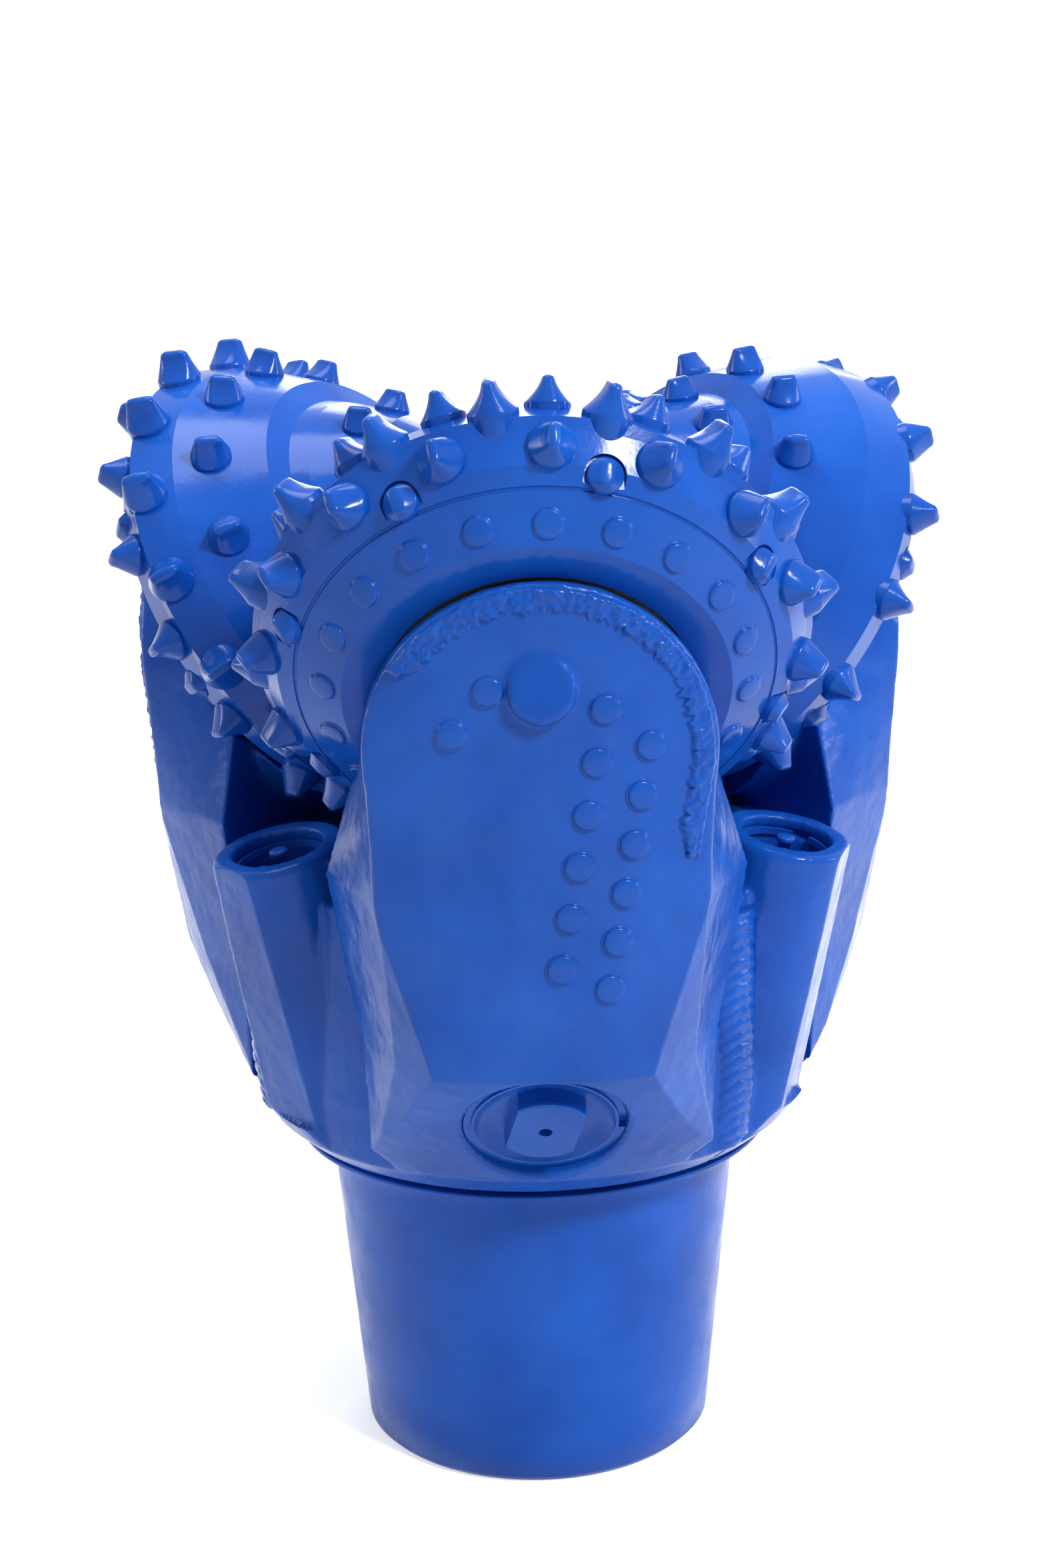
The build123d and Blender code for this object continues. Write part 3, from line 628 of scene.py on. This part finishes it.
def hardfacing_edge():
    """Points of the dome's edge, upper left to right side, then down, each with its way inwards."""
    spots = []
    for step in range(DOME_STEPS):
        angle = math.radians(HARDFACING_START - step / 2)
        inward = (-math.cos(angle), -math.sin(angle))
        spots.append((DOME_RADIUS * math.cos(angle), DOME_CENTRE + DOME_RADIUS * math.sin(angle), inward))
    side, height, inward = spots[-1]
    for step in range(1, SIDE_STEPS):
        spots.append((side - 0.1 * MM * step, height - 0.55 * MM * step, inward))
    return spots


def hardfacing_mesh(index):
    """Ragged, knobbly band laid on the leg's face just inside the edge of its dome."""
    bm = bmesh.new()
    spots = hardfacing_edge()
    loops = []
    for n, (edge_side, edge_height, inward) in enumerate(spots):
        ends = min(1.0, n / FADE_START, (len(spots) - 1 - n) / FADE_END)
        comb = noise.fractal(Vector((n / 5.0, index * 7.0, 0)), 0.8, 2.0, 3)
        width = HARDFACING_WIDTH * (0.45 + 0.55 * ends) * (0.9 + 0.22 * comb)
        top, under = [], []
        for k in range(HARDFACING_ROWS + 1):
            share = k / HARDFACING_ROWS
            inset = 0.2 * MM + width * share
            side, height = edge_side + inward[0] * inset, edge_height + inward[1] * inset
            surface = math.sqrt(face_radius(height) ** 2 - side ** 2)
            cover = min(1.0, share / 0.16, (1 - share) / 0.30) * min(1.0, 4 * ends)
            spot = Vector((side, height, index * 90 * MM))
            lump = noise.fractal(spot / (3.0 * MM), 0.9, 2.0, 3) + 0.7 * noise.noise(spot / (6 * MM))
            proud = HARDFACING_SUNK + HARDFACING_RISE * (0.8 + 0.6 * lump)
            top.append(bm.verts.new((surface - HARDFACING_SUNK + cover * proud, side, height)))
            under.append(bm.verts.new((surface - 3 * MM, side, height)))
        loops.append(top + under[::-1])
    skin_loops(bm, loops)
    mesh = mesh_of(bm, "hardfacing_part")
    mesh.transform(to_leg(index).inverted())
    return mesh


def build_hardfacing():
    mesh = joined([hardfacing_mesh(index) for index in range(SECTORS)], "dome_hardfacing")
    add_piece("dome_hardfacing", mesh, "bit_body", "painted_body", "leg_hardfacing")


# ---- Welds ---------------------------------------------------------------------------------
WELD_ANGLE = math.radians(42.2)           # from the leg's middle plane to the seam
WELD_RADIUS = 109.0 * MM
WELD_HALF_WIDTH = 11.5 * MM
WELD_FOOT, WELD_KNEE, WELD_TOP = 141 * MM, 161 * MM, 228 * MM
WELD_ACROSS, WELD_ALONG = 30, 190         # faces
WELD_DEPTH = 6 * MM                       # of the bead's border under its surface
RIPPLE_PITCH = 4.6                        # millimetres


def weld_mesh(index):
    """Flat weld bead with overlapping crescent ripples, laid from the shoulder up."""
    bm = bmesh.new()
    rows = []
    for n in range(WELD_ALONG + 1):
        height = WELD_FOOT + (WELD_TOP - WELD_FOOT) * n / WELD_ALONG
        tuck = max(0.0, (WELD_KNEE - height) / (WELD_KNEE - WELD_FOOT))
        base = WELD_RADIUS - 3.2 * MM - 3.0 * MM * tuck
        row = []
        for k in range(WELD_ACROSS + 1):
            share = 2 * k / WELD_ACROSS - 1
            flank = 1.0 if share > 0 else 4.0
            wobble = 1 + 0.09 * noise.noise(Vector((height / (6 * MM), 3.0 * index, flank)))
            side = share * WELD_HALF_WIDTH * wobble
            curl = height / MM + 5.5 * share * share
            ripple = abs(math.sin(math.pi * curl / RIPPLE_PITCH)) ** 0.7
            crown = 3.4 * (1 - abs(share) ** 2.4) - 2.2 * abs(share) ** 6
            rough = 0.35 * noise.fractal(Vector((side, height, index * 0.1)) / (4 * MM), 1.0, 2.0, 3)
            radius = base + (crown + 0.75 * ripple * (1 - share ** 4) + rough) * MM
            angle = WELD_ANGLE + side / WELD_RADIUS
            row.append(bm.verts.new((radius * math.cos(angle), radius * math.sin(angle), height)))
        rows.append(row)
    for a, b in zip(rows, rows[1:]):
        for k in range(WELD_ACROSS):
            bm.faces.new((a[k], a[k + 1], b[k + 1], b[k]))
    rim = [e for e in bm.edges if e.is_boundary]
    shell = bmesh.ops.extrude_edge_only(bm, edges=rim)["geom"]
    for vert in (g for g in shell if isinstance(g, bmesh.types.BMVert)):
        flat = vert.co.xy
        vert.co.xy = flat * ((flat.length - WELD_DEPTH) / flat.length)
    bmesh.ops.holes_fill(bm, edges=[e for e in bm.edges if e.is_boundary], sides=0)
    mesh = mesh_of(bm, "weld_part")
    mesh.transform(to_leg(index).inverted())
    return mesh


def build_welds():
    mesh = joined([weld_mesh(index) for index in range(SECTORS)], "weld_beads")
    add_piece("weld_beads", mesh, "bit_body", "painted_body", "weld_seams")


# ---- Stage ---------------------------------------------------------------------------------
FLOOR_SIZE = 6.0                          # half side of the square
PAINTED_SHADOW_GLOW, FAR_GLOW = 0.56, 1.0           # own light of the floor by the object, lowered there to paint a shadow, and far off
NEAR_REACH, FAR_REACH = 0.16, 0.6         # from the bit axis
SKY_COLOUR, SKY_STRENGTH = (0.93, 0.96, 1.0, 1), 0.36
SOFTBOXES = (                # name, place, height of its target on the bit axis, size, watts
    ("key_softbox", (0.9, -1.1, 1.45), 0.25, 0.3, 27),
    ("top_softbox", (-0.2, 0.1, 1.7), 0.3, 0.8, 15),
    ("left_softbox", (-1.7, 0.2, 0.75), 0.25, 0.4, 5),
    ("right_softbox", (1.7, 0.0, 0.7), 0.25, 0.4, 7),
    ("back_softbox", (0.2, 1.4, 1.0), 0.35, 0.7, 8),
)


def math_node(nodes, links, operation, first, second):
    node = nodes.new("ShaderNodeMath")
    node.operation = operation
    links.new(first, node.inputs[0])
    links.new(second, node.inputs[1])
    return node.outputs["Value"]


def seen_directly(nodes, links):
    """1 for camera, glossy and transmission rays, 0 for the rays that light the object."""
    path = nodes.new("ShaderNodeLightPath")
    most = path.outputs["Is Camera Ray"]
    for ray in ("Is Glossy Ray", "Is Transmission Ray"):
        most = math_node(nodes, links, "MAXIMUM", most, path.outputs[ray])
    return most


def floor():
    """White floor. The lamps cast a real shadow on it, and its glow is dimmer near the bit axis, which
    paints a faint shadow round the object, then fades into the white backdrop.
    """
    bm = bmesh.new()
    bmesh.ops.create_grid(bm, x_segments=1, y_segments=1, size=FLOOR_SIZE)
    mesh = bpy.data.meshes.new("floor")
    bm.to_mesh(mesh)
    bm.free()
    ground = bpy.data.objects.new("floor", mesh)
    bpy.context.scene.collection.objects.link(ground)
    material, nodes, links, surface = new_material("floor")
    surface.inputs["Base Color"].default_value = (0.8, 0.8, 0.8, 1)
    surface.inputs["Roughness"].default_value = 1.0
    surface.inputs["Specular IOR Level"].default_value = 0.0
    surface.inputs["Emission Color"].default_value = (1, 1, 1, 1)
    place = nodes.new("ShaderNodeNewGeometry")
    reach = nodes.new("ShaderNodeVectorMath")
    reach.operation = "LENGTH"
    links.new(place.outputs["Position"], reach.inputs[0])
    # glow is dimmer near the bit axis: a painted shadow round the object, on top of the lamps' real shadow
    glow_with_painted_shadow = mapped(nodes, links, reach.outputs["Value"], PAINTED_SHADOW_GLOW, FAR_GLOW, NEAR_REACH, FAR_REACH)
    links.new(math_node(nodes, links, "MULTIPLY", seen_directly(nodes, links), glow_with_painted_shadow),
              surface.inputs["Emission Strength"])
    mesh.materials.append(material)


def background(nodes, colour, strength):
    node = nodes.new("ShaderNodeBackground")
    node.inputs["Color"].default_value = colour
    node.inputs["Strength"].default_value = strength
    return node.outputs["Background"]


def world_light():
    """Soft sky for the light, plain white where the backdrop is seen."""
    world = bpy.data.worlds.new("studio")
    bpy.context.scene.world = world
    world.use_nodes = True
    nodes, links = world.node_tree.nodes, world.node_tree.links
    nodes.clear()
    output = nodes.new("ShaderNodeOutputWorld")
    mix = nodes.new("ShaderNodeMixShader")
    links.new(seen_directly(nodes, links), mix.inputs["Fac"])
    links.new(background(nodes, SKY_COLOUR, SKY_STRENGTH), mix.inputs[1])
    links.new(background(nodes, (1, 1, 1, 1), 1.0), mix.inputs[2])
    links.new(mix.outputs["Shader"], output.inputs["Surface"])


def lights():
    for name, place, height, size, power in SOFTBOXES:
        data = bpy.data.lights.new(name, "AREA")
        data.size = size
        data.energy = power
        light = bpy.data.objects.new(name, data)
        light.location = place
        aim = Vector((0, 0, height)) - Vector(place)
        light.rotation_euler = aim.to_track_quat("-Z", "Y").to_euler()
        bpy.context.scene.collection.objects.link(light)


set_camera()
dress_nodes()
build_inserts()
build_buttons()
build_plug_knobs()
build_ball_plugs()
build_protector()
build_legs()
build_hardfacing()
build_welds()
floor()
world_light()
lights()
bpy.context.scene.view_settings.view_transform = "Standard"
